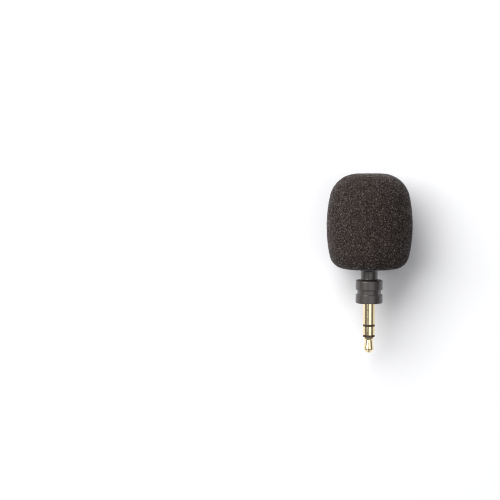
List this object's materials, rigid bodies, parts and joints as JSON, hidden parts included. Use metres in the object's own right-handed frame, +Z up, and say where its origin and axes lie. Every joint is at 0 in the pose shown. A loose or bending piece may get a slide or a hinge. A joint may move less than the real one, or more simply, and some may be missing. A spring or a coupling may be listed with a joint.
{
  "type": "plug-in microphone",
  "caption": "Miniature omnidirectional microphone on a three-pole audio plug, with a grooved collar, a narrow neck and a foam windscreen that pulls off its capsule head.",
  "frame": {"origin": "centre of the plug's shoulder, where the plug leaves the collar", "axes": "+Y along the microphone's axis from the plug to the windscreen, +Z up as it lies on its side, +X to the right"},
  "size_m": [0.0248, 0.0524, 0.0248],
  "materials": {
    "foam": "open-cell foam, dark warm grey",
    "black_anodised": "satin black anodised",
    "black_steel": "satin black",
    "steel_mesh": "woven wire",
    "gold_plate": "polished gold plate",
    "black_insulator": "moulded",
    "felt": "black acoustic felt",
    "boot_rubber": "moulded rubber",
    "can_aluminium": "drawn, satin",
    "capsule_brass": "stamped",
    "film": "metallised film",
    "capsule_plastic": "moulded",
    "board": "glass-epoxy with solder mask",
    "component": "moulded package",
    "ceramic": "ceramic chip",
    "washer_fibre": "pressed fibre",
    "tinned_terminal": "tinned",
    "red_insulation": "soft insulation",
    "black_insulation": "soft insulation",
    "solder": "bright solder"
  },
  "bodies": {
    "microphone": {"collar": "black_anodised", "head_housing": "black_anodised", "grille_cap": "black_steel", "grille_mesh": "steel_mesh", "sleeve_contact": "gold_plate", "ring_contact": "gold_plate", "tip_contact": "gold_plate", "ring_insulator": "black_insulator", "tip_insulator": "black_insulator", "dust_felt": "felt", "capsule_boot": "boot_rubber", "capsule_can": "can_aluminium", "diaphragm_ring": "capsule_brass", "backplate": "capsule_brass", "contact_ring": "capsule_brass", "diaphragm": "film", "backplate_holder": "capsule_plastic", "spacer_ring": "capsule_plastic", "capsule_board": "board", "jfet": "component", "filter_capacitors": "ceramic", "flange_washer": "washer_fibre", "lug_washer": "washer_fibre", "ring_lug": "tinned_terminal", "tip_lug": "tinned_terminal", "link_wire": "tinned_terminal", "signal_wire": "red_insulation", "ground_wire": "black_insulation", "solder_joints": "solder"},
    "windscreen": {"foam_windscreen": "foam"}
  },
  "joints": [
    {"name": "windscreen_slide", "type": "slide", "parent": "microphone", "child": "windscreen", "axis": [0, 1, 0], "range_m": [0, 0.024]}
  ]
}
